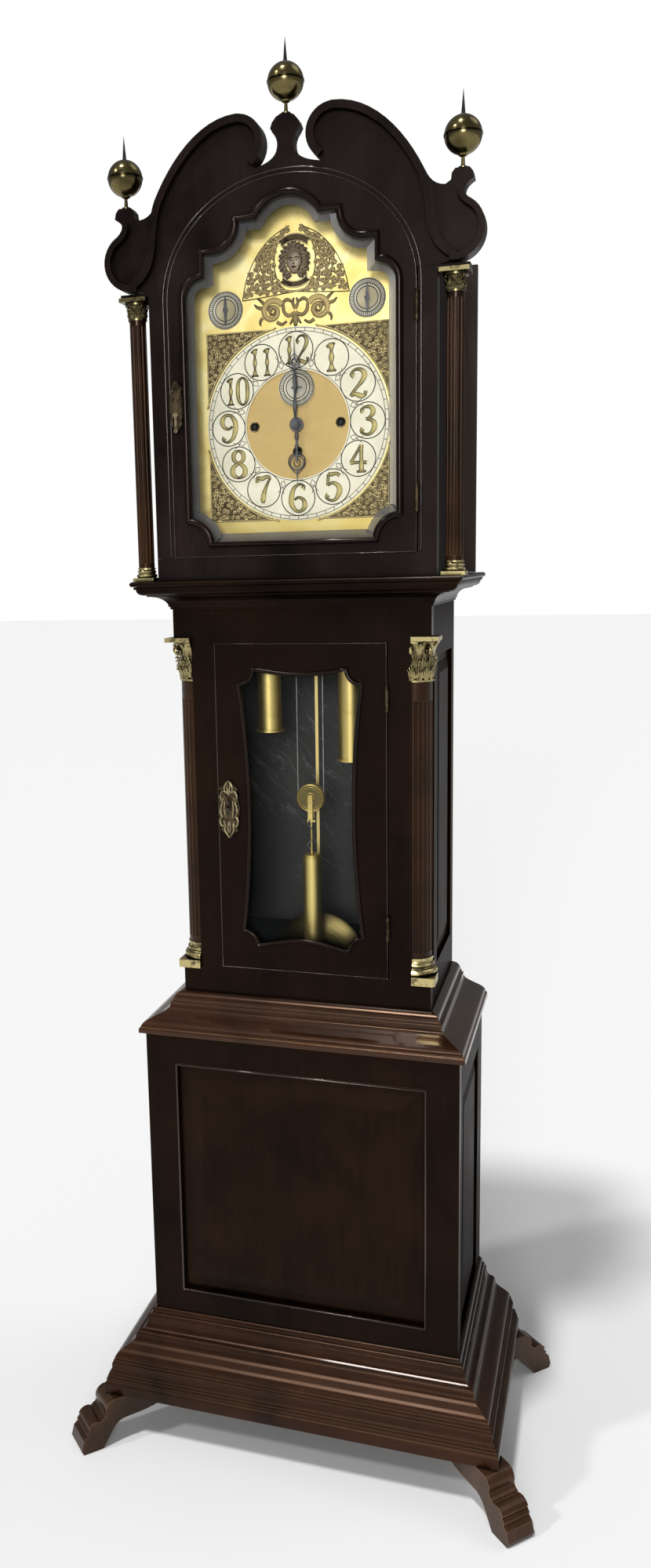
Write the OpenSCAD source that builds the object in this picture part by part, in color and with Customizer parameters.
// Longcase clock: a panelled case on four splayed feet, a sliding hood with
// swan necks and ball finials, and an eight-day weight-driven movement.
// Millimetres, +Z up, front towards -Y, origin on the floor under the middle.

/* [Feet] */
// Height of the feet, from the floor to the underside of the skirt
foot_h = 87; // [80:1:96]
// Thickness of each foot
foot_w = 52; // [44:1:58]
// Reach of a toe past the skirt's corner, along the diagonal
foot_reach = 57; // [53:1:62]
// Length of each foot's arm under the skirt
foot_arm = 118; // [90:1:122]

/* [Skirt and base] */
// Height of the reeded skirt
skirt_h = 135; // [125:1:150]
// How far the skirt spreads past the base box
skirt_out = 75; // [70:1:84]
// Depth of the skirt moulding behind the face of the base box
skirt_t = 18; // [15:1:22]
// Height of the base box
base_h = 520; // [460:5:580]
// How far the base box stands out from the trunk, on three sides
base_step = 54.6; // [45:1:60]
// Width of the base frame's stiles
base_stile = 56; // [45:1:70]
// Height of the base frame's bottom rail
base_rail = 45; // [35:1:60]
// Height of the base frame's top rail
base_top_rail = 56; // [45:1:70]
// Height of the moulding between base and trunk
mould_h = 62; // [56:1:72]
// How far that moulding stands out from the trunk
mould_out = 64.4; // [62:1:72]

/* [Trunk] */
// Width of the trunk
trunk_w = 427; // [410:1:440]
// Depth of the trunk, from its front to its back
trunk_d = 256.3; // [245:1:290]
// Height of the trunk, up to its cornice
trunk_h = 657; // [630:1:720]
// Thickness of the case boards
board = 16; // [14:1:18]
// Thickness of the front frames and doors
frame_t = 20; // [18:1:22]
// Width of the trunk door
door_w = 285; // [275:1:290]
// Height of the trunk door
door_h = 552; // [530:1:570]
// Height of the trunk's bottom rail, below the door
trunk_rail = 110; // [100:1:120]
// Radius of the quarter columns on the trunk's corners
quarter_r = 29; // [26:0.5:30]
// Half width of the trunk door's glass at its corners
light_half = 103; // [98:1:108]
// How far the sides of that glass bow inwards
light_bow = 14.5; // [8:0.5:20]
// Radius of the notches in its corners
light_notch = 25; // [18:1:30]
// Stile of the trunk door above and below its glass
light_margin = 41; // [36:1:48]

/* [Hood] */
// Height of the cornice under the hood
cornice_h = 38; // [34:1:44]
// How far the hood's base board stands out from the trunk
hood_out = 53.5; // [51:0.5:58]
// Thickness of the hood's base board
hood_base_t = 8; // [7:0.5:11]
// How far the hood box stands out past the trunk's sides
hood_side_step = 12; // [11:0.5:14]
// How far the hood's front stands forward of the trunk's front
hood_step = 29; // [27:0.5:32]
// Height of the hood's sides and stiles
hood_h = 446; // [430:2:480]
// Thickness of the hood's side boards
hood_board = 10; // [8:0.5:10.5]
// Height of the hood frame's bottom rail
hood_rail = 36; // [32:1:44]
// Half width of the hood door
hood_door_half = 194.5; // [190:0.5:197]
// Rise of the hood door's arch above the springing
arch_rise = 168; // [160:1:172]
// Depth of the springing of that arch below the top of the hood's sides
spring_drop = 18; // [14:1:24]
// Half width of the hood door's glass
glass_half = 169.5; // [165:0.5:172]
// Height from the hood door's bottom to its glass
glass_sill = 19; // [16:1:24]
// Diameter of the hood's columns
column_d = 26; // [22:1:28]
// Distance of the hood's columns from its sides
column_off = 24.5; // [22.5:0.5:26.5]
// Height of the pediment over the hood's sides
pediment_h = 233; // [220:1:240]
// Thickness of the pediment's raised moulding
rim_t = 9; // [6:0.5:12]
// Diameter of the ball finials
ball_d = 54; // [48:1:58]
// Height of the spike over each ball
spike_h = 36; // [26:1:44]

/* [Dial] */
// Radius of the chapter ring
chapter_r = 147.3; // [140:0.5:150]
// Radius of the plain centre inside the chapter ring
centre_r = 83; // [78:0.5:88]
// Height of the numerals
numeral_h = 42; // [34:1:44]
// Distance of the two outer winding holes from the centre line
winding_x = 69.6; // [68:0.2:72]
// Drop of the middle winding hole below the dial's centre
winding_drop = 41; // [40:0.5:44]
// Rise of the seconds dial above the dial's centre
seconds_rise = 56; // [54:0.5:58]
// Length of the minute hand
minute_l = 130; // [118:1:134]
// Length of the hour hand
hour_l = 92; // [84:1:98]
// Radius of the two small dials in the arch
small_dial_r = 28.5; // [25:0.5:30]

/* [Movement] */
// Distance between the movement's plates
plate_gap = 60; // [56:1:64]
// Radius of the winding drums, to the middle of their cable
drum_r = 21.9; // [20:0.1:23]
// Diameter of the cables
cable_d = 1.8; // [1.4:0.1:2.2]
// Length of the pendulum, from its spring to the middle of its bob
pendulum_l = 994; // [960:1:994]
// Radius of the pendulum's bob
bob_r = 80; // [70:1:84]
// Diameter of the two outer weights
weight_d = 40; // [34:1:44]
// Diameter of the middle weight
centre_weight_d = 31; // [28:1:36]
// Length of the outer weights
weight_l = 230; // [200:5:240]
// Length of the middle weight
centre_weight_l = 190; // [160:5:200]
// Depth of the left weight's hook below the seat board
left_drop = 137; // [130:1:200]
// Depth of the right weight's hook below the seat board
right_drop = 184; // [130:1:240]
// Depth of the middle weight's hook below the seat board
centre_drop = 582; // [400:1:620]

/* [Hidden] */
// Fine gap left along glued joints, so that each board stays its own piece
glue = 0.1;
// Gap between a door and its frame
door_gap = 1;
// Gap between the sliding hood and what it slides on
slide_gap = 0.4;
// Radial clearance of pins and arbors in their bores
pin_gap = 0.05;
eps = 0.01;
$fn = 48;
arc_n = 8;

// Levels, from the floor up
z_skirt = foot_h;
z_base = z_skirt + skirt_h;
z_mould = z_base + base_h;
z_trunk = z_mould + mould_h;
z_cornice = z_trunk + trunk_h;
z_slide = z_cornice + cornice_h;
z_hood = z_slide + slide_gap + hood_base_t;
z_hood_top = z_hood + hood_h;
z_spring = z_hood_top - spring_drop;
z_hood_door = z_hood + hood_rail + door_gap;
z_glass = z_hood_door + glass_sill;
z_trunk_door = z_mould + trunk_rail;

// Places across and along the depth
half_t = trunk_w / 2;
half_b = half_t + base_step;
half_s = half_b + skirt_out;
half_h = half_t + hood_side_step;
column_x = half_h + column_off;
y_back = (trunk_d + base_step + skirt_out) / 2;
y_trunk = y_back - trunk_d;
y_base = y_trunk - base_step;
y_skirt = y_base - skirt_out;
y_hood = y_trunk - hood_step;
y_door = y_trunk - 1;
y_hood_door = y_hood - 0.5;
back_t = 12;
wing = 25;
z_wing = z_hood_top + 55;

// Dial and movement
z_dial = z_hood + 238;
y_dial = y_hood + 44.3;
dial_t = 3;
dial_half = 189;
ring_t = 1.5;
plate_t = 4;
y_plate = y_dial + dial_t + 15;
y_rear_plate = y_plate + plate_t + plate_gap;
y_drum = y_plate + plate_t + plate_gap / 2;
seat_t = 22;
z_seat = z_dial - 105 - seat_t;
plate_half = 97;
plate_h = 214;
arbor_r = 4;
z_pivot = z_dial + 92;
y_pendulum = y_rear_plate + plate_t + 15;
rod_half = 2.6;
pulley_drop = 102;
winding_hole_r = 6.5;
fall_x = drum_r + 0.35;
hood_column_y = y_hood + 13;
z_capital = z_hood_top - 39;
z_capital_top = z_hood_top - 6;

// Directions of the turning pieces
hinge_r = 3.2;
hinge_pin_r = 1.6;
hinge_leaf = 1;
hinge_l = 40;
hinge_x = door_w / 2 + 1.2;
hinge_y = y_door - 3.6;
hood_hinge_x = hood_door_half + 1.2;
hood_hinge_y = y_hood_door - 3.6;
hinge_bay = 1.4;

walnut = "#3a1f14";
dark = "#241410";
brass = "#c9a445";
antique = "#8a7638";
silver = "#d8d6c4";
steel = "#8d9196";
blued = "#23242c";
clear = "#9fb4b0";

// Points of an arc about c, from angle a to angle b
function arc(c, r, a, b, n = arc_n) =
    [for (i = [0:n]) let (t = a + (b - a) * i / n) c + r * [cos(t), sin(t)]];

// Points of a cubic curve through p and s with handles q and r
function curve(p, q, r, s, n = arc_n) =
    [for (i = [0:n]) let (t = i / n, u = 1 - t)
        u * u * u * p + 3 * u * u * t * q + 3 * u * t * t * r + t * t * t * s];

function mirrored(p) = [for (i = [len(p) - 1:-1:0]) [-p[i][0], p[i][1]]];
function reversed(p) = [for (i = [len(p) - 1:-1:0]) p[i]];
function unit(v) = v / max(norm(v), 1e-9);
function no_repeats(p) =
    [for (i = [0:len(p) - 1]) if (norm(p[i] - p[(i + len(p) - 1) % len(p)]) > 0.01) p[i]];

// Left-hand normal of an open path at point i
function path_normal(p, i) =
    let (
        a = unit(p[min(i + 1, len(p) - 1)] - p[i]),
        b = unit(p[i] - p[max(i - 1, 0)]),
        t = unit(a + b)
    ) [-t[1], t[0]];

// A strip along an open path, w0 to its left and w1 to its right
function strip(path, w0, w1) = let (p = no_repeats(path)) concat(
    [for (i = [0:len(p) - 1]) p[i] + w0 * path_normal(p, i)],
    [for (i = [len(p) - 1:-1:0]) p[i] - w1 * path_normal(p, i)]
);

// A closed outline moved outwards by d, for outlines that run clockwise
function grown(outline, d) = let (p = no_repeats(outline)) [
    for (i = [0:len(p) - 1])
        let (
            n = len(p),
            a = unit(p[(i + 1) % n] - p[i]),
            b = unit(p[i] - p[(i + n - 1) % n]),
            na = [-a[1], a[0]],
            nb = [-b[1], b[0]],
            m = unit(na + nb)
        ) p[i] + d / max(m * na, 0.4) * m
];

// One step of a moulding's profile: [kind, drop, spread] from point p
function profile_step(p, s) =
    let (k = s[0], dz = s[1], dx = s[2], first = dx > 0)
    k == "step" ? [p + [dx, 0], p + [dx, -dz]]
    : k == "wave" ? [for (i = [1:arc_n + 2]) let (t = i / (arc_n + 2))
        p + [dx * (t - 0.14 * sin(360 * t)), -dz * t]]
    : let (out_first = (k == "round") == first)
        [for (i = [1:arc_n]) let (a = 90 * i / arc_n)
            out_first ? p + [dx * sin(a), -dz * (1 - cos(a))]
            : p + [dx * (1 - cos(a)), -dz * sin(a)]];

// A moulding's whole profile, from its top downwards
function profile(p, s, i = 0) = i == len(s) ? []
    : let (q = profile_step(p, s[i])) concat(q, profile(q[len(q) - 1], s, i + 1));

module slab(x0, x1, y0, y1, z0, z1) {
    translate([x0, y0, z0]) cube([x1 - x0, y1 - y0, z1 - z0]);
}

// A cylinder that runs along Y from y0 to y1
module rod_y(x, z, r, y0, y1) {
    translate([x, y0, z]) rotate([-90, 0, 0]) cylinder(r = r, h = y1 - y0);
}

// An outline in X and Z, as thick as y0 to y1
module plate_y(outline, y0, y1) {
    translate([0, y1, 0]) rotate([90, 0, 0])
        linear_extrude(height = y1 - y0) polygon(outline);
}

module both_sides() {
    children();
    mirror([1, 0, 0]) children();
}

// Mitred moulding round the front and the two sides of a box. The profile
// is [out from the box, height]; inner is how far it reaches inside the box.
module moulding(outline, out, inner, half, y_front, y_end) {
    difference() {
        intersection() {
            translate([-half - out, y_front, 0]) rotate([90, 0, 90])
                linear_extrude(height = 2 * (half + out))
                    polygon([for (p = outline) [-p[0], p[1]]]);
            linear_extrude(height = z_hood_top) polygon([
                [-half - out + glue, y_front - out], [half + out - glue, y_front - out],
                [half - inner - glue, y_front + inner], [-half + inner + glue, y_front + inner]
            ]);
        }
    }
    both_sides() intersection() {
        translate([half, y_end, 0]) rotate([90, 0, 0])
            linear_extrude(height = y_end - y_front + out) polygon(outline);
        linear_extrude(height = z_hood_top) polygon([
            [half + out, y_front - out + glue], [half + out, y_end],
            [half - inner, y_end], [half - inner, y_front + inner + glue]
        ]);
    }
}

// Outline of a foot seen from its side: distance past the corner, height
foot_outline = let (r = foot_reach, h = foot_h) concat(
    [[-foot_arm, h], [-foot_arm, h - 24]],
    curve([-foot_arm, h - 24], [-84, h - 44], [-52, h - 40], [-22, h - 42]),
    curve([-22, h - 42], [-4, h - 46], [r - 53, 18], [r - 40, 0]),
    [[r - 4, 0], [r, 8], [r - 5, 26], [r - 13, 33]],
    [[r - 11, 36], [r - 17, 43], [r - 15, 45.5]],
    arc([r - 29.5, h - 48], 15.9, 26, 125),
    arc([18, h - 22], 10, 255, 195),
    arc([-9, h - 18], 18, 0, 90)
);

module feet() {
    corner = [half_s, -y_skirt];
    color(walnut)
        for (sx = [-1, 1], sy = [-1, 1])
            translate([sx * corner[0], sy * corner[1], 0])
                rotate([0, 0, atan2(sy, sx)])
                    translate([0, foot_w / 2, 0]) rotate([90, 0, 0])
                        linear_extrude(height = foot_w) polygon(foot_outline);
}

// Reeds of the skirt; the wave takes the height and spread that are left
skirt_wave_h = skirt_h - 106;
skirt_wave_out = skirt_out - 47;
skirt_steps = [
    ["round", 8, 6], ["step", 1, -1], ["round", 7, 6], ["step", 3, 2],
    ["hollow", 17, 12], ["step", 2, 2], ["round", 6, 3],
    ["wave", skirt_wave_h, skirt_wave_out],
    ["step", 5, 2], ["step", 5, 2], ["step", 5, 2], ["hollow", 10, 2],
    ["step", 5, 2], ["step", 5, 2], ["step", 6, 2],
    ["round", 6, 3], ["step", 15, 0]
];

module skirt() {
    top = [0, z_base];
    outline = concat(
        [[-skirt_t, z_skirt], [-skirt_t, z_base], top],
        profile(top, skirt_steps)
    );
    color(walnut) {
        moulding(outline, skirt_out, skirt_t, half_b, y_base, y_back);
        slab(-half_b + skirt_t + glue, half_b - skirt_t - glue,
            y_back - skirt_t, y_back, z_skirt, z_base);
    }
}

module base_floor() {
    color(dark)
        slab(-half_b + skirt_t, half_b - skirt_t,
            y_base + skirt_t, y_back - skirt_t, z_base - board, z_base);
}

module base_front_frame() {
    x = half_b - base_stile;
    z0 = z_base + base_rail;
    z1 = z_mould - base_top_rail;
    y1 = y_base + frame_t;
    bead = 1.5;
    color(walnut) {
        both_sides() union() {
            slab(x + glue, half_b, y_base, y1, z_base, z_mould);
            slab(x + glue, x + 4, y_base - bead, y1, z0 - 4, z1 + 4);
        }
        union() {
            slab(-x, x, y_base, y1, z_base, z0);
            slab(-x, x, y_base - bead, y1, z0 - 4, z0);
        }
        union() {
            slab(-x, x, y_base, y1, z1, z_mould);
            slab(-x, x, y_base - bead, y1, z1, z1 + 4);
        }
    }
}

// A panel whose field is raised on four bevels, facing -Y
module raised_panel(x0, x1, z0, z1, y0, y1, bevel, rise) {
    slab(x0, x1, y0 + rise, y1, z0, z1);
    hull() {
        slab(x0 + 14, x1 - 14, y0 + rise - eps, y0 + rise, z0 + 14, z1 - 14);
        slab(x0 + 14 + bevel, x1 - 14 - bevel, y0, y0 + eps, z0 + 14 + bevel, z1 - 14 - bevel);
    }
}

module base_front_panel() {
    x = half_b - base_stile - glue;
    color(dark)
        raised_panel(-x, x, z_base + base_rail + glue, z_mould - base_top_rail - glue,
            y_base + 3, y_base + 14, 26, 5);
}

// One side board of the base or the trunk, with its sunk and raised field
module side_board(half, y0, y1, z0, z1, stile_f, stile_r, rail0, rail1, deep) {
    difference() {
        slab(half - board, half, y0, y1, z0, z1);
        slab(half - deep, half + 1, y0 + stile_f, y1 - stile_r, z0 + rail0, z1 - rail1);
    }
    translate([half - deep, 0, 0])
        hull() {
            slab(-eps, 0, y0 + stile_f + 14, y1 - stile_r - 14, z0 + rail0 + 14, z1 - rail1 - 14);
            slab(deep - 2 - eps, deep - 2, y0 + stile_f + 32, y1 - stile_r - 32,
                z0 + rail0 + 32, z1 - rail1 - 32);
        }
}

module base_sides() {
    color(walnut) both_sides()
        side_board(half_b, y_base + frame_t, y_back, z_base, z_mould, 20, 56, 8, 77, 7);
}

// Back boards of the base and the trunk, and the wide one behind the hood
module backboards() {
    y0 = y_back - back_t;
    cheek = half_t - board;
    right = concat(
        [[half_t, z_slide + glue]],
        [[half_t, z_hood + slide_gap], [half_h + wing, z_hood + slide_gap]],
        [[half_h + wing, z_wing], [half_h, z_wing]],
        [for (p = vault(half_h, arch_rise + 6)) if (p[1] > z_wing && p[0] > 0) p]
    );
    color(dark) {
        slab(-half_b + board, half_b - board, y0, y_back, z_base, z_mould);
        slab(-cheek, cheek, y0, y_back, z_mould + glue, z_slide);
        plate_y(concat(right, mirrored(right)), y0, y_back);
    }
}

mould_steps = [
    ["round", 14, 16], ["step", 4, 2], ["step", 4, 3],
    ["wave", mould_h - 32, mould_out - 24], ["step", 1, 1],
    ["round", 4, 2], ["step", 5, 0]
];

module base_moulding() {
    top = [0, z_trunk];
    outline = concat([[0, z_mould], top], profile(top, mould_steps));
    color(walnut) moulding(outline, mould_out, 0, half_t, y_trunk, y_back);
}

z_column_foot = z_trunk + 42;
z_column_low = z_column_foot + 43;
z_column_high = z_cornice - 119;
z_column_head = z_cornice - 47;
notch = quarter_r + 2;

// The two notches in the trunk's front corners
module corner_notches() {
    both_sides() slab(half_t - notch, half_t + 1, y_trunk - 1, y_trunk + notch,
        z_column_foot, z_column_head);
}

module trunk_front_frame() {
    x = door_w / 2 + door_gap;
    y1 = y_trunk + frame_t;
    color(walnut) {
        difference() {
            slab(x + hinge_bay, half_t, y_trunk, y1, z_mould, z_slide);
            corner_notches();
        }
        difference() {
            slab(-half_t, -x, y_trunk, y1, z_mould, z_slide);
            corner_notches();
            slab(-x - lock_bay - 2, -x + 1, y_door + 9, y_door + 14,
                trunk_lock_z - 9, trunk_lock_z + 9);
        }
        slab(-x + glue, x + hinge_bay - glue, y_trunk, y1, z_mould, z_trunk_door - door_gap);
        slab(-x + glue, x + hinge_bay - glue, y_trunk, y1,
            z_trunk_door + door_h + door_gap, z_slide);
    }
}

module trunk_sides() {
    y0 = y_trunk + frame_t;
    color(walnut) both_sides() {
        difference() {
            side_board(half_t, y0, y_back, z_mould, z_slide, 44, 27, 123, 119, 6);
            corner_notches();
        }
        slab(half_t - board, half_t, y0 + 4, y_back - back_t - glue, z_slide + glue, z_seat);
    }
}

quarter_x = half_t - notch;
quarter_y = y_trunk + notch;

// Keeps the outer quarter of a turned piece on a trunk corner
module quarter(z0, z1, r) {
    intersection() {
        translate([quarter_x, quarter_y, z0]) children();
        slab(quarter_x, quarter_x + r, quarter_y - r, quarter_y, z0, z1);
    }
}

module quarter_columns() {
    flute_r = 3;
    neck = 30;
    color(walnut) both_sides()
        difference() {
            quarter(z_column_low, z_column_high, quarter_r)
                cylinder(r = quarter_r, h = z_column_high - z_column_low);
            for (a = [-78, -61.5, -45, -28.5, -12])
                translate([quarter_x + (quarter_r + 0.6) * cos(a),
                    quarter_y + (quarter_r + 0.6) * sin(a), z_column_low + 10])
                    cylinder(r = flute_r, h = z_column_high - neck - z_column_low - 10, $fn = 24);
        }
}

// Turned outline of a capital: collar, swelling bell and flat top
function capital_outline(r0, r1, h) = concat(
    [[0, 0], [r0 + 2, 0], [r0 + 2, 3], [r0 - 0.5, 4]],
    curve([r0 - 0.5, 4], [r0 + 0.5, h * 0.5], [r0 + 1, h * 0.7], [r1, h - 10]),
    [[r1, h - 6], [r1 - 3, h - 6], [r1 - 3, h - 5], [0, h - 5]]
);

// Turned outline of a column's foot: rings that step in upwards
function foot_rings(r0, h, plinth, spread) = let (k = h - plinth) concat(
    [[0, plinth - 1], [r0 + 1, plinth - 1], [r0 + 1, plinth]],
    arc([r0 + spread - k * 0.2, plinth + k * 0.2], k * 0.2, -90, 90, 6),
    [[r0 + 1, plinth + k * 0.5]],
    arc([r0 + 1, plinth + k * 0.6], k * 0.1, -90, 90, 6),
    [[r0, h - k * 0.15], [r0 + 1.5, h - k * 0.15], [r0 + 1.5, h], [0, h]]
);

module trunk_column_brasses() {
    head_h = z_column_head - z_column_high;
    low_h = z_column_low - z_column_foot;
    reach = quarter_r + 14;
    color(brass) both_sides() {
        union() {
            quarter(z_column_high + glue, z_column_head, reach + 2)
                rotate_extrude() polygon(capital_outline(quarter_r, quarter_r + 11, head_h));
            slab(quarter_x, quarter_x + reach, quarter_y - reach, quarter_y,
                z_column_head - 7, z_column_head);
        }
        union() {
            quarter(z_column_foot, z_column_low - glue, reach)
                rotate_extrude() polygon(foot_rings(quarter_r, low_h - glue, 14, 9));
            slab(quarter_x, quarter_x + quarter_r + 9, quarter_y - quarter_r - 9, quarter_y,
                z_column_foot, z_column_foot + 14);
        }
    }
}

cornice_steps = [
    ["step", 4, 0], ["step", 1, -3], ["round", 9, -11], ["step", 2, -2],
    ["hollow", cornice_h - 20, -(hood_out - 5 - 21)], ["step", 4, -2]
];

module cornice() {
    top = [hood_out - 5, z_slide];
    outline = concat([[0, z_cornice], [0, z_slide], top], profile(top, cornice_steps));
    color(walnut) moulding(outline, hood_out - 5, 0, half_t, y_trunk, y_back);
}

module seat_board() {
    color(dark) difference() {
        slab(-half_t, half_t, y_trunk + frame_t + 4, y_back - back_t - glue,
            z_seat, z_seat + seat_t);
        for (x = [-winding_x, 0, winding_x], s = [-1, 1])
            translate([x + s * fall_x, y_drum, z_seat - 1])
                cylinder(r = s < 0 ? 6 : 2, h = seat_t + 2);
        slab(-20, 20, y_pendulum - 14, y_back, z_seat - 1, z_seat + seat_t + 1);
    }
}

// Outline of the trunk door's glass: notched corners and bowed sides
trunk_light = let (
    w = light_half, n = light_notch, b = light_bow,
    z0 = z_trunk_door + light_margin, z1 = z_trunk_door + door_h - light_margin,
    right = concat(
        curve([0, z1 - 9], [26, z1 - 9], [52, z1 - 5], [w - n, z1]),
        arc([w, z1], n, 180, 270),
        curve([w, z1 - n], [w - b * 1.3, z1 - 150], [w - b * 1.3, z0 + 150], [w, z0 + n], 12),
        arc([w, z0], n, 90, 180),
        curve([w - n, z0], [52, z0 + 6], [26, z0 + 13], [0, z0 + 14])
    )
) concat(right, [for (i = [len(right) - 2:-1:1]) [-right[i][0], right[i][1]]]);

rebate = 7;
lip = 8;

// A door frame from its outline and its light, with a rebate behind for glass
module glazed_frame(outline, light, y0) {
    difference() {
        plate_y(outline, y0, y0 + frame_t);
        plate_y(light, y0 - 1, y0 + lip + 1);
        plate_y(grown(light, rebate), y0 + lip, y0 + frame_t + 1);
    }
}

trunk_lock_z = z_trunk_door + 276;

module trunk_door() {
    x = door_w / 2;
    z0 = z_trunk_door;
    z1 = z0 + door_h;
    cut0 = z0 + light_margin + light_notch;
    cut1 = z1 - light_margin - light_notch;
    outline = [[-x, z0], [-x, z1], [x, z1], [x, z0]];
    color(walnut)
        for (band = [[z0 - 1, cut0 - glue], [cut0, cut1], [cut1 + glue, z1 + 1]])
            difference() {
                intersection() {
                    glazed_frame(outline, trunk_light, y_door);
                    slab(-x, x, y_door - 1, y_door + frame_t + 1, band[0], band[1]);
                }
                slab(-x - 1, -light_half - 9, y_door + 7, y_door + frame_t + 1,
                    trunk_lock_z - 30, trunk_lock_z + 30);
            }
}

module trunk_door_glass() {
    color(clear) plate_y(grown(trunk_light, rebate - 0.5), y_door + lip, y_door + lip + 4);
}

// Outline of an escutcheon: a tall cartouche with leafy ends
function cartouche(w, h) = let (right = concat(
    curve([0, h / 2], [w * 0.2, h * 0.5], [w * 0.16, h * 0.42], [w * 0.3, h * 0.4], 5),
    curve([w * 0.5, h * 0.36], [w * 0.26, h * 0.3], [w * 0.52, h * 0.24], [w * 0.46, h * 0.17], 5),
    curve([w * 0.5, h * 0.13], [w * 0.56, h * 0.04], [w * 0.56, -h * 0.06], [w * 0.46, -h * 0.14], 5),
    curve([w * 0.5, -h * 0.18], [w * 0.52, -h * 0.26], [w * 0.24, -h * 0.3], [w * 0.46, -h * 0.37], 5),
    curve([w * 0.3, -h * 0.41], [w * 0.14, -h * 0.42], [w * 0.2, -h * 0.5], [0, -h / 2], 5)
)) concat(right, [for (i = [len(right) - 2:-1:1]) [-right[i][0], right[i][1]]]);

trunk_lock_x = -door_w / 2 + 19;

module trunk_escutcheon() {
    color(antique) translate([trunk_lock_x, 0, trunk_lock_z]) difference() {
        union() {
            plate_y(cartouche(34, 98), y_door - 3, y_door);
            plate_y(cartouche(22, 60), y_door - 5, y_door - 3);
        }
        rod_y(0, 3, 2.6, y_door - 6, y_door + 1);
        slab(-1.4, 1.4, y_door - 6, y_door + 1, -8, 3);
    }
}

lock_bay = 8;

module trunk_lock() {
    x0 = -door_w / 2;
    x1 = -light_half - 9 - glue;
    color(steel) difference() {
        slab(x0, x1, y_door + 7, y_door + 16, trunk_lock_z - 28, trunk_lock_z + 28);
        slab(x0 - 1, x0 + 22, y_door + 9.5, y_door + 13.5,
            trunk_lock_z - 8 - slide_gap, trunk_lock_z + 8 + slide_gap);
    }
}

module trunk_lock_bolt() {
    x0 = -door_w / 2;
    color(brass) slab(x0, x0 + 13, y_door + 9.5 + slide_gap, y_door + 13.5 - slide_gap,
        trunk_lock_z - lock_bay, trunk_lock_z + lock_bay);
}

// Fixed half of a hinge: two knuckles, the pin through them and a leaf
module hinge_fixed(x, y, z) {
    third = hinge_l / 3;
    translate([x, y, z]) {
        for (s = [-1, 1]) {
            translate([0, 0, s > 0 ? third / 2 + 0.2 : -hinge_l / 2])
                cylinder(r = hinge_r, h = third - 0.2, $fn = 32);
            translate([0, 0, s > 0 ? hinge_l / 2 : -hinge_l / 2 - 2])
                cylinder(r = 1.9, h = 2, $fn = 24);
            slab(0.2, 0.2 + hinge_leaf, 0, 5,
                s > 0 ? third / 2 + 0.2 : -hinge_l / 2, s > 0 ? hinge_l / 2 : -third / 2 - 0.2);
        }
        translate([0, 0, -hinge_l / 2])
            cylinder(r = hinge_pin_r - pin_gap, h = hinge_l, $fn = 32);
        slab(0.2, 0.2 + hinge_leaf, 4.4, 20, -hinge_l / 2, hinge_l / 2);
    }
}

// Moving half of a hinge: the middle knuckle, bored for the pin, and a leaf
module hinge_moving(x, y, z) {
    third = hinge_l / 3;
    translate([x, y, z]) difference() {
        union() {
            translate([0, 0, -third / 2]) cylinder(r = hinge_r, h = third, $fn = 32);
            slab(-0.2 - hinge_leaf, -0.2, 0, 5, -third / 2, third / 2);
            slab(-0.2 - hinge_leaf, -0.2, 4.4, 20, -hinge_l / 2, hinge_l / 2);
        }
        translate([0, 0, -third]) cylinder(r = hinge_pin_r, h = third * 2, $fn = 32);
    }
}

trunk_hinge_in = 87.5;
hood_hinge_in = 80;
hood_hinge_drop = 35;
trunk_hinge_z = [z_trunk_door + trunk_hinge_in, z_trunk_door + door_h - trunk_hinge_in];
hood_hinge_z = [z_hood_door + hood_hinge_in, z_spring - hood_hinge_drop];

module trunk_hinge_leaves() {
    color(brass) for (z = trunk_hinge_z) hinge_fixed(hinge_x, hinge_y, z);
}

module trunk_hinge_straps() {
    color(brass) for (z = trunk_hinge_z) hinge_moving(hinge_x, hinge_y, z);
}

module hood_base() {
    z0 = z_slide + slide_gap;
    r = hood_base_t / 2;
    inner = -slide_gap - 0.7;
    outline = concat(
        [[-inner, z_hood], [-inner, z0]],
        arc([hood_out - r, z0 + r], r, -90, 90),
        [[-inner, z_hood]]
    );
    color(walnut) moulding([for (i = [0:len(outline) - 2]) outline[i]],
        hood_out, inner, half_t, y_trunk, y_back);
}

// Half an ellipse over the hood, from right to left
function vault(a, b, n = 28) =
    [for (i = [0:n]) let (t = 180 * i / n) [a * cos(t), z_spring + b * sin(t)]];

module hood_sides() {
    color(walnut) both_sides()
        slab(half_h - hood_board, half_h, y_hood + frame_t, y_back - back_t - slide_gap,
            z_hood, z_hood_top);
}

// The pediment is drawn 233 high with its ears centred 250 out, then moved to fit
drawn_h = 233;
drawn_ear = 250;
ear_r = 44;
ear_z = 46;

function fitted(points) = [for (p = points) [
    p[0] + (column_x - drawn_ear) * min(1, p[0] / (drawn_ear - ear_r)),
    z_hood_top + p[1] * pediment_h / drawn_h]];

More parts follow.
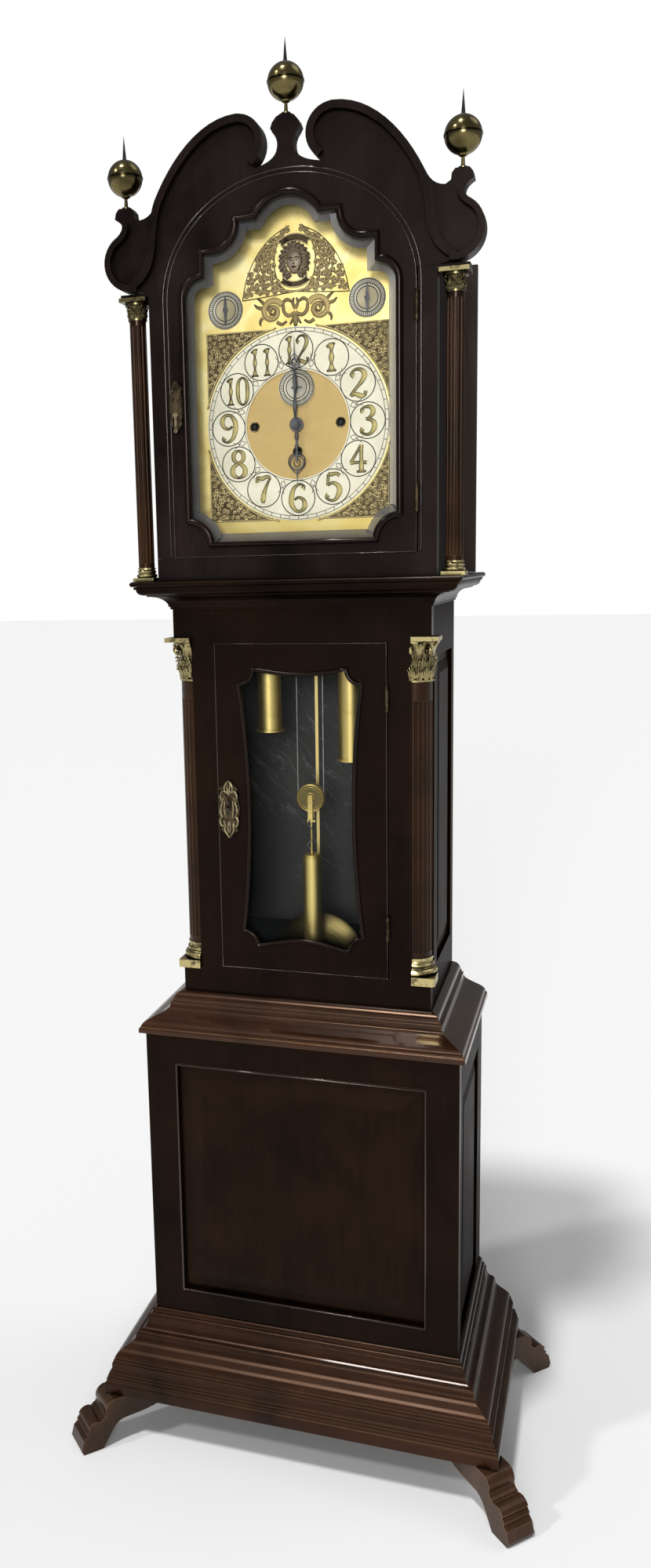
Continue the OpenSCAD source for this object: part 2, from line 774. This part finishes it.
// Right half of the pediment's silhouette, from the middle of the top
pediment_right = fitted(let (z = 0) concat(
    [[0, z + 233], [6, z + 233], [14, z + 229], [20, z + 222], [23, z + 214], [19, z + 207]],
    curve([19, z + 207], [12, z + 199], [12, z + 192], [13, z + 186], 5),
    curve([13, z + 186], [15, z + 172], [30, z + 165], [52, z + 161.5]),
    arc([73, z + 198], 40, 236, 98, 14),
    curve([73, z + 238.5], [133, z + 238], [180, z + 184], [207, z + 131], 12),
    curve([207, z + 131], [213, z + 118], [221, z + 109], [236, z + 108], 6),
    [[244, z + 113], [245, z + 122], [250, z + 128], [270, z + 128], [275, z + 122], [277, z + 113]],
    curve([277, z + 113], [264, z + 106], [260, z + 98], [266, ear_z + 41], 6),
    arc([drawn_ear, ear_z], ear_r, 62, -100, 16)
));

// Outer line of the raised moulding on the right: scroll, shoulder, ear
rim_scroll = fitted(let (z = 0) concat(
    arc([73, z + 198], 40, 236, 98, 14),
    curve([73, z + 238.5], [133, z + 238], [180, z + 184], [207, z + 131], 12),
    curve([207, z + 131], [217, z + 108], [217, z + 86], [222, z + 58], 8),
    curve([222, z + 58], [226, z + 38], [234, z + 24], [254, z + 15], 6)
));
rim_ear = fitted(let (z = 0) concat(
    curve([262, z + 101], [261, z + 97], [263, z + 91], [270.7, ear_z + 38.8], 4),
    arc([drawn_ear, ear_z], ear_r, 58, -100, 16)
));

module hood_front() {
    x = hood_door_half + door_gap;
    y1 = y_hood + frame_t;
    z = z_hood_top;
    right = concat(
        pediment_right,
        [[column_x - 22, z + glue], [x, z + glue]],
        [for (p = vault(x, arch_rise + door_gap, 28)) if (p[1] > z && p[0] > 0) p]
    );
    left = mirrored(right);
    color(walnut) {
        slab(x + hinge_bay, half_h, y_hood, y1, z_hood + hood_rail + glue, z);
        slab(-half_h, -x, y_hood, y1, z_hood + hood_rail + glue, z);
        slab(-half_h, half_h, y_hood, y1, z_hood, z_hood + hood_rail);
        plate_y(concat(right, [[0, z_spring + arch_rise + door_gap]], left), y_hood, y1);
        both_sides() slab(half_h + glue, column_x + 22, y_hood, y_hood + 34,
            z_capital_top, z - glue);
    }
}

module hood_roof() {
    t = 8;
    a = half_h - glue;
    b = arch_rise + 6;
    outline = concat(
        [for (p = vault(a, b)) if (p[1] > z_hood_top) p],
        reversed([for (p = vault(a - t, b - t)) if (p[1] > z_hood_top) p])
    );
    color(dark) translate([0, 0, glue])
        plate_y(outline, y_hood + frame_t, y_back - back_t - slide_gap);
}

module pediment_mouldings() {
    color(walnut) both_sides() {
        plate_y(strip(rim_scroll, 0, 11), y_hood - rim_t, y_hood);
        plate_y(strip(rim_ear, 0, 9), y_hood - rim_t, y_hood);
    }
}

column_foot_h = 22;

module hood_columns() {
    flute_r = 2.2;
    z0 = z_hood + column_foot_h;
    n = 12;
    color(walnut) both_sides() translate([column_x, hood_column_y, z0]) difference() {
        cylinder(d = column_d, h = z_capital - z0);
        for (i = [0:n - 1])
            rotate([0, 0, 360 / n * (i + 0.5)]) translate([column_d / 2 + 0.7, 0, 8])
                cylinder(r = flute_r, h = z_capital - z0 - 16, $fn = 16);
    }
}

module hood_column_brasses() {
    r = column_d / 2;
    h = z_capital_top - z_capital;
    half = 18;
    color(antique) both_sides() translate([column_x, hood_column_y, 0]) {
        union() {
            translate([0, 0, z_capital]) rotate_extrude()
                polygon(capital_outline(r, r + 6, h));
            slab(-22, 22, -22, 20, z_capital_top - 6, z_capital_top);
        }
        union() {
            translate([0, 0, z_hood]) rotate_extrude()
                polygon(foot_rings(r, column_foot_h, 6, 4));
            slab(-half, half, -half, half, z_hood, z_hood + 6);
        }
    }
}

finial_y = y_hood + 7.6;
finial_x = column_x + 10;

// Turned outline of a finial: flange, stem, ball with its seam, and spike
module finial_shape() {
    r = ball_d / 2;
    stem = 18;
    c = stem + r;
    rotate_extrude() polygon(concat(
        [[0, 0], [7, 0], [7, 2], [3, 4], [2.4, stem - 3], [6, stem - 1]],
        arc([0, c], r, -75, -3, 12),
        [[r + 0.8, c - 1.2], [r + 0.8, c + 1.2]],
        arc([0, c], r, 3, 82, 12),
        [[3, c + r + 2], [0, c + r + spike_h]]
    ));
}

module finials() {
    color(antique) {
        translate([0, finial_y, z_hood_top + pediment_h]) finial_shape();
        for (x = [-finial_x, finial_x])
            translate([x, finial_y, z_hood_top + 128 * pediment_h / drawn_h]) finial_shape();
    }
}

// Outline of the hood door's glass: notched foot, stepped and lobed head
hood_light = let (
    w = glass_half, z0 = z_glass, notch_r = 37, shoulder = 32.5, lobe = 37,
    zs = z_spring + 3, x1 = w - shoulder, x2 = x1 - 19, x3 = x2 - lobe,
    z2 = zs + shoulder + 34, z3 = z2 + lobe, z4 = z3 + 6, head = 58.4,
    zc = z4 - head * sin(29),
    right = concat(
        arc([0, zc], head, 90, 29, 8),
        [[x3, z4]],
        arc([x2, z3], lobe, 180, 270),
        [[x1, z2]],
        arc([x1, zs], shoulder, 90, 0),
        [[w, z0 + notch_r]],
        arc([w, z0], notch_r, 90, 180)
    )
) concat(right, [for (i = [len(right) - 1:-1:1]) [-right[i][0], right[i][1]]]);

module hood_door() {
    x = hood_door_half;
    z0 = z_hood_door;
    cut0 = z_glass + 37;
    y0 = y_hood_door;
    outline = concat([[-x, z0]], reversed(vault(x, arch_rise, 32)), [[x, z0]]);
    color(walnut)
        for (band = [[z0 - 1, cut0 - glue], [cut0, z_spring], [z_spring + glue, z_spring + 200]])
            intersection() {
                glazed_frame(outline, hood_light, y0);
                slab(-x, x, y0 - 1, y0 + frame_t + 1, band[0], band[1]);
            }
}

module hood_door_glass() {
    y0 = y_hood_door + lip;
    color(clear) plate_y(grown(hood_light, rebate - 0.5), y0, y0 + 5);
}

hood_lock = [-hood_door_half + 10.5, z_hood_door + 235];

module hood_escutcheon() {
    color(antique) translate([hood_lock[0], 0, hood_lock[1]]) difference() {
        union() {
            plate_y(cartouche(21, 76), y_hood_door - 3, y_hood_door);
            plate_y(cartouche(14, 44), y_hood_door - 4.5, y_hood_door - 3);
        }
        rod_y(0, -14, 1.5 + pin_gap, y_hood_door - 6, y_hood_door + 1);
    }
}

module hood_catch() {
    z = hood_lock[1] - 14;
    y = y_hood_door;
    color(antique) {
        rod_y(hood_lock[0], z, 1.5, y - 7, y - 0.3);
        rod_y(hood_lock[0], z, 4, y - 8.5, y - 5);
        translate([hood_lock[0] - 2, y - 8, z - 24]) cube([4, 2.5, 24]);
        rod_y(hood_lock[0], z - 24, 3.4, y - 8.5, y - 5);
    }
}

module hood_hinge_leaves() {
    color(brass) for (z = hood_hinge_z) hinge_fixed(hood_hinge_x, hood_hinge_y, z);
}

module hood_hinge_straps() {
    color(brass) for (z = hood_hinge_z) hinge_moving(hood_hinge_x, hood_hinge_y, z);
}

small_dial = [113, z_dial + 180];

module dial_plate() {
    bottom = z_hood + 40;
    color(brass) difference() {
        union() {
            plate_y(concat(
                [[-dial_half, bottom]],
                reversed(vault(dial_half, arch_rise - 11, 28)),
                [[dial_half, bottom]]
            ), y_dial, y_dial + dial_t);
            for (x = [-80, 80], z = [z_dial - 88, z_dial + 88])
                rod_y(x, z, 5, y_dial + dial_t - eps, y_plate);
        }
        rod_y(0, z_dial, 6, y_dial - 1, y_plate);
        rod_y(0, z_dial + seconds_rise, 2, y_dial - 1, y_plate);
        for (x = [-winding_x, winding_x]) rod_y(x, z_dial, winding_hole_r, y_dial - 1, y_plate);
        rod_y(0, z_dial - winding_drop, winding_hole_r, y_dial - 1, y_plate);
        for (x = [-small_dial[0], small_dial[0]])
            rod_y(x, small_dial[1], 1.5 + pin_gap, y_dial - 1, y_plate);
    }
}

// A flat ring in front of the dial plate
module dial_ring(x, z, r0, r1) {
    difference() {
        rod_y(x, z, r1, y_dial - ring_t, y_dial);
        rod_y(x, z, r0, y_dial - ring_t - 1, y_dial + 1);
    }
}

module dial_rings() {
    color(silver) {
        dial_ring(0, z_dial, centre_r, chapter_r);
        dial_ring(0, z_dial + seconds_rise, 2, 24);
        for (x = [-small_dial[0], small_dial[0]])
            dial_ring(x, small_dial[1], 2, small_dial_r);
    }
}

// An oval loop, w wide, for the figures
module loop(c, rx, ry, w) {
    translate(c) difference() {
        polygon([for (i = [0:19]) [(rx + w) * cos(18 * i), (ry + w) * sin(18 * i)]]);
        polygon([for (i = [0:19]) [(rx - w) * cos(18 * i), (ry - w) * sin(18 * i)]]);
    }
}

drawn_figure_h = 28;

// Open strokes of the figures, in a box 18 wide and as high as that
function figure(n) =
    n == 1 ? [[[0, -14], [0, 14]], [[-4, -14], [4, -14]], [[-4, 8], [0, 13]]]
    : n == 2 ? [concat(arc([0, 6], 7, 170, -40, 10), [[-4, -7], [-7, -13]]), [[-8, -13], [8, -13]]]
    : n == 3 ? [[[-6, 13], [7, 13], [0, 3]], arc([0, -5], 8, 80, -150, 10)]
    : n == 4 ? [[[4, -14], [4, 14]], [[4, 13], [-8, -4], [9, -4]]]
    : n == 5 ? [[[7, 13], [-5, 13], [-5.5, 1.5]], arc([0, -5], 8, 130, -140, 10)]
    : n == 6 ? [curve([-7.5, -3], [-8, 5], [-3, 11], [5, 14])]
    : n == 7 ? [[[-7, 13], [7, 13], [1, 0], [-2, -14]]]
    : n == 9 ? [curve([7.5, 3], [8, -5], [3, -11], [-5, -14])]
    : [];

module figure_shape(n) {
    w = n == 1 ? 2.2 : 1.7;
    for (s = figure(n)) polygon(strip(s, w, w));
    if (n == 0) loop([0, 0], 8, 12.5, w);
    if (n == 6) loop([0, -5], 8, 8.5, w);
    if (n == 8) {
        loop([0, 7], 6, 6, w);
        loop([0, -6], 7.5, 7.5, w);
    }
    if (n == 9) loop([0, 5], 8, 8.5, w);
}

module numerals() {
    reach = (chapter_r + centre_r) / 2 - 2;
    k = numeral_h / drawn_figure_h;
    color(antique) for (h = [1:12]) {
        a = 90 - 30 * h;
        digits = h < 10 ? [h] : [1, h - 10];
        translate([reach * cos(a), y_dial - ring_t, z_dial + reach * sin(a)])
            rotate([90, 0, 0]) linear_extrude(height = 1)
                scale([k * (len(digits) == 1 ? 1 : 0.78), k])
                    for (i = [0:len(digits) - 1])
                        translate([len(digits) == 1 ? 0 : (i == 0 ? -9 : 8), 0])
                            figure_shape(digits[i]);
    }
}

module corner_ornaments() {
    half = chapter_r - 0.8;
    gap_r = chapter_r + 2;
    a0 = 7;
    both_sides() for (s = [-1, 1])
        plate_y([for (p = concat(
            [[half, sqrt(gap_r * gap_r - half * half)]],
            arc([0, 0], gap_r, a0 + 6, 90 - a0 - 6, 14),
            [[sqrt(gap_r * gap_r - half * half), half], [half, half]]
        )) [p[0], z_dial + s * p[1]]], y_dial - 2.5, y_dial);
}

module arch_ornaments() {
    z = z_dial + 195;
    y = y_dial;
    side = concat(
        curve([84, z - 2], [70, z + 46], [44, z + 84], [9, z + 98], 8),
        [[9, z + 88]],
        curve([34, z + 74], [34, z + 50], [36, z + 30], [34, z + 14], 6),
        curve([34, z + 14], [52, z + 4], [66, z - 2], [84, z - 2], 4)
    );
    both_sides() plate_y(side, y - 2.5, y);
    plate_y(strip(arc([0, z + 52], 30, 50, 130, 8), 4, 4), y - 3, y);
    plate_y(strip(arc([0, z + 44], 32, 230, 310, 8), 5, 5), y - 3, y);
    intersection() {
        translate([0, y, z + 49]) sphere(r = 20);
        slab(-21, 21, y - 9, y, z + 25, z + 75);
    }
    both_sides() plate_y(
        strip(concat(arc([28, z - 25], 12, -100, 160, 10), [[4, z - 32]]), 2.4, 2.4),
        y - 2.5, y);
    rod_y(0, z - 33, 9, y - 3.5, y);
}

module dial_ornaments() {
    color(antique) {
        corner_ornaments();
        arch_ornaments();
    }
}

y_hour = y_dial - 6.7;
y_minute = y_dial - 12.7;

// A tapering hand with a pierced loop, in X and Z, pointing up
module hand_shape(l, loop_at, loop_r, hub_r, y0, y1) {
    plate_y([[-2.2, 0], [-1.2, loop_at], [1.2, loop_at], [2.2, 0]], y0, y1);
    difference() {
        rod_y(0, loop_at, loop_r, y0, y1);
        rod_y(0, loop_at, loop_r - 2, y0 - 1, y1 + 1);
    }
    plate_y([[-1.4, loop_at + loop_r - 1], [0, l], [1.4, loop_at + loop_r - 1]], y0, y1);
    rod_y(0, 0, hub_r, y0, y1);
}

module minute_hand() {
    r = 2.5;
    color(blued) translate([0, 0, z_dial]) {
        hand_shape(minute_l, 92, 7, 7, y_minute, y_minute + 1.5);
        rod_y(0, 0, 5, y_minute - 4, y_minute + eps);
    }
    color(steel) rod_y(0, z_dial, r, y_minute - 6, y_rear_plate + plate_t);
    color(brass) rod_y(0, z_dial, 30, y_rear_plate - 6, y_rear_plate - 3.5);
}

module hour_hand() {
    color(blued) translate([0, 0, z_dial]) rotate([0, 180, 0]) difference() {
        hand_shape(hour_l, 58, 12, 11, y_hour, y_hour + 1.5);
        rod_y(0, 0, 2.5 + pin_gap, y_hour - 1, y_hour + 3);
    }
    color(brass) difference() {
        union() {
            rod_y(0, z_dial, 5, y_hour + 1.5 - eps, y_plate - 5);
            rod_y(0, z_dial, 26, y_plate - 7, y_plate - 5);
        }
        rod_y(0, z_dial, 2.5 + pin_gap, y_hour, y_plate);
    }
}

escape_r = 24;

module seconds_hand() {
    z = z_dial + seconds_rise;
    y0 = y_dial - 3.6;
    color(blued) {
        for (a = [0:90:270])
            translate([0, 0, z]) rotate([0, a, 0])
                plate_y([[-2.4, 0], [-0.5, a == 0 ? 20 : 9], [0.5, a == 0 ? 20 : 9], [2.4, 0]],
                    y0, y0 + 1);
        rod_y(0, z, 3.4, y0 - 0.8, y0 + 1);
    }
    color(steel) rod_y(0, z, 1.6, y0, y_rear_plate + plate_t);
    color(brass) difference() {
        rod_y(0, z, escape_r, y_drum + 18, y_drum + 20);
        for (i = [0:29])
            translate([0, 0, z]) rotate([0, 12 * i, 0])
                plate_y([[-2, escape_r - 3], [0.2, escape_r + 1], [-4, escape_r + 1]],
                    y_drum + 17, y_drum + 21);
    }
}

module pointer(x) {
    z = small_dial[1];
    y0 = y_dial - 3.6;
    color(blued) {
        plate_y([[x - 1, z - 22], [x - 3, z], [x - 1, z + 20], [x + 1, z + 20], [x + 3, z], [x + 1, z - 22]],
            y0, y0 + 1);
        rod_y(x, z, 4, y0 - 1.2, y0 + 1);
        rod_y(x, z, 1.5, y0, y_dial + dial_t);
    }
}

module left_pointer() { pointer(-small_dial[0]); }

module right_pointer() { pointer(small_dial[0]); }

module movement_plates() {
    z0 = z_seat + seat_t;
    color(brass) {
        difference() {
            for (y = [y_plate, y_rear_plate])
                slab(-plate_half, plate_half, y, y + plate_t, z0, z0 + plate_h);
            for (x = [-winding_x, winding_x])
                rod_y(x, z_dial, arbor_r + pin_gap, y_plate - 1, y_rear_plate + 9);
            rod_y(0, z_dial - winding_drop, arbor_r + pin_gap, y_plate - 1, y_rear_plate + 9);
            rod_y(0, z_dial, 2.5 + pin_gap, y_plate - 1, y_rear_plate + 9);
            rod_y(0, z_dial + seconds_rise, 1.6 + pin_gap, y_plate - 1, y_rear_plate + 9);
            rod_y(0, z_pivot, 2 + pin_gap, y_plate - 1, y_rear_plate + 9);
        }
        both_sides() for (p = [[75, z0 + 10], [plate_half - 9, z0 + plate_h - 10]])
            rod_y(p[0], p[1], 5, y_plate + plate_t, y_rear_plate);
        difference() {
            union() {
                slab(-16, 16, y_rear_plate + plate_t, y_pendulum + 6, z_pivot + 8, z_pivot + 14);
                slab(-16, 16, y_rear_plate + plate_t, y_rear_plate + plate_t + 3,
                    z_pivot + 6, z_pivot + 24);
            }
            slab(-2, 2, y_pendulum - 9, y_pendulum + 7, z_pivot + 7, z_pivot + 15);
        }
    }
}

module anchor() {
    crutch_l = 150;
    pin_bottom = crutch_l + 4;
    fork_in = rod_half + 0.5;
    fork_out = fork_in + 2.5;
    y0 = y_drum + 17.5;
    clear_r = escape_r + 3.5;
    z = z_dial + seconds_rise - z_pivot;
    color(steel) translate([0, 0, z_pivot]) {
        rod_y(0, 0, 2, y_plate, y_rear_plate + plate_t + 6);
        difference() {
            plate_y([[-29, z + 7], [-26, -4], [0, 4], [26, -4], [29, z + 7], [21, z + 14], [15, -8],
                [0, -6], [-15, -8], [-21, z + 14]], y0, y0 + 3);
            rod_y(0, z, clear_r, y0 - 1, y0 + 4);
        }
        slab(-2, 2, y_rear_plate + plate_t + 1, y_rear_plate + plate_t + 4, -crutch_l, 0);
        slab(-fork_out, -fork_in, y_rear_plate + plate_t + 1, y_pendulum + 4, -pin_bottom, -crutch_l);
        slab(fork_in, fork_out, y_rear_plate + plate_t + 1, y_pendulum + 4, -pin_bottom, -crutch_l);
        slab(-fork_out, fork_out, y_rear_plate + plate_t + 1, y_rear_plate + plate_t + 4,
            -pin_bottom, -crutch_l + eps);
    }
}

module pendulum() {
    z_bob = z_pivot - pendulum_l;
    t = 14;
    color(steel) slab(-0.6, 0.6, y_pendulum - 6, y_pendulum + 6, z_pivot - 22, z_pivot + 14);
    color(brass) {
        slab(-rod_half, rod_half, y_pendulum - 2.5, y_pendulum + 2.5, z_bob + bob_r + glue,
            z_pivot - 22 - glue);
        translate([0, y_pendulum, z_bob]) rotate([90, 0, 0]) rotate_extrude() polygon(concat(
            [[0, -t]], curve([20, -t], [50, -t + 1], [bob_r - 6, -5], [bob_r, -1.5], 8),
            reversed(curve([20, t], [50, t - 1], [bob_r - 6, 5], [bob_r, 1.5], 8)), [[0, t]]
        ));
        translate([0, y_pendulum, z_bob - bob_r - 30]) cylinder(r = 2, h = 30 - glue, $fn = 24);
        translate([0, y_pendulum, z_bob - bob_r - 34]) cylinder(r = 9, h = 4 - glue);
    }
}

// A winding drum with its flanges, great wheel and winding square
module barrel(x, z) {
    groove = drum_r - cable_d / 2;
    y0 = y_plate + plate_t + 6;
    y1 = y0 + 42;
    color(steel) {
        rod_y(x, z, arbor_r, y_plate - 8, y_rear_plate + plate_t);
        translate([x, y_dial - 0.5, z]) rotate([-90, 0, 0])
            cylinder(r = arbor_r - 0.1, h = y_plate - 8 - y_dial + 0.5, $fn = 4);
    }
    color(brass) {
        rod_y(x, z, groove, y0, y1);
        rod_y(x, z, 29, y0, y0 + 2);
        rod_y(x, z, 29, y1 - 2, y1);
        rod_y(x, z, 34, y1 + 2, y1 + 4.5);
        rod_y(x, z, 12, y1 - eps, y1 + 2);
    }
}

module barrel_left() { barrel(-winding_x, z_dial); }

module barrel_centre() { barrel(0, z_dial - winding_drop); }

module barrel_right() { barrel(winding_x, z_dial); }

function hook_z(drop) = z_seat - drop;

// A grooved pulley, bored for its axle
module pulley(x, drop) {
    z = hook_z(drop) + pulley_drop;
    groove = drum_r - cable_d / 2;
    color(brass) translate([x, y_drum, z]) rotate([90, 0, 0]) difference() {
        rotate_extrude() polygon([
            [0, -5], [drum_r + 2.5, -5], [drum_r + 2.5, -3.5], [groove, -cable_d],
            [groove, cable_d], [drum_r + 2.5, 3.5], [drum_r + 2.5, 5], [0, 5]
        ]);
        translate([0, 0, -6]) cylinder(r = 2 + pin_gap, h = 12);
    }
}

module pulley_left() { pulley(-winding_x, left_drop); }

module pulley_centre() { pulley(0, centre_drop); }

module pulley_right() { pulley(winding_x, right_drop); }

// A brass weight with its cap, hook and the pulley's stirrup and axle
module weight(x, drop, d, l) {
    weight_brim = 8;
    z = hook_z(drop);
    h = pulley_drop;
    color(brass) translate([x, y_drum, z]) {
        translate([0, 0, -l]) cylinder(d = d, h = l);
        translate([0, 0, -l]) cylinder(d = d + weight_brim, h = 3);
        cylinder(d = d - 4, h = 4);
        cylinder(r = 2.2, h = h - 42);
        translate([-7, -2, h - 42]) cube([14, 4, 4]);
    }
    color(steel) translate([x, y_drum, z + h]) {
        rod_y(0, 0, 2, -8.4, 8.4);
        for (y = [-8, 5.6]) translate([-4, y, -40]) cube([8, 2.4, 44]);
        translate([-4, -8, -40]) cube([8, 16, 4]);
    }
}

module weight_left() { weight(-winding_x, left_drop, weight_d, weight_l); }

module weight_centre() { weight(0, centre_drop, centre_weight_d, centre_weight_l); }

module weight_right() { weight(winding_x, right_drop, weight_d, weight_l); }

// The two falls of a cable between the seat board and its pulley
module cable(x, drop) {
    z = hook_z(drop) + pulley_drop;
    color(steel) for (s = [-1, 1])
        translate([x + s * fall_x, y_drum, z]) cylinder(d = cable_d, h = z_seat - z, $fn = 16);
}

module cable_left() { cable(-winding_x, left_drop); }

module cable_centre() { cable(0, centre_drop); }

module cable_right() { cable(winding_x, right_drop); }

// Above the seat board: each cable's run to its drum, and its knotted end
module cable_tops() {
    z0 = z_seat + eps;
    top = z_seat + seat_t;
    color(steel) for (d = [[-winding_x, z_dial], [0, z_dial - winding_drop], [winding_x, z_dial]]) {
        translate([d[0] - fall_x, y_drum, z0]) cylinder(d = cable_d, h = d[1] - z0, $fn = 16);
        translate([d[0] + fall_x, y_drum, z0]) cylinder(d = cable_d, h = top + 2 - z0, $fn = 16);
        translate([d[0] + fall_x, y_drum, top]) cylinder(r = 3.5, h = 5, $fn = 24);
    }
}

feet();
skirt();
base_floor();
base_front_frame();
base_front_panel();
base_sides();
backboards();
base_moulding();
trunk_front_frame();
trunk_sides();
quarter_columns();
trunk_column_brasses();
cornice();
seat_board();
trunk_door();
trunk_door_glass();
trunk_escutcheon();
trunk_lock();
trunk_lock_bolt();
trunk_hinge_leaves();
trunk_hinge_straps();
hood_base();
hood_sides();
hood_front();
hood_roof();
pediment_mouldings();
hood_columns();
hood_column_brasses();
finials();
hood_door();
hood_door_glass();
hood_escutcheon();
hood_catch();
hood_hinge_leaves();
hood_hinge_straps();
dial_plate();
dial_rings();
numerals();
dial_ornaments();
minute_hand();
hour_hand();
seconds_hand();
left_pointer();
right_pointer();
movement_plates();
anchor();
pendulum();
barrel_left();
barrel_centre();
barrel_right();
pulley_left();
pulley_centre();
pulley_right();
weight_left();
weight_centre();
weight_right();
cable_left();
cable_centre();
cable_right();
cable_tops();
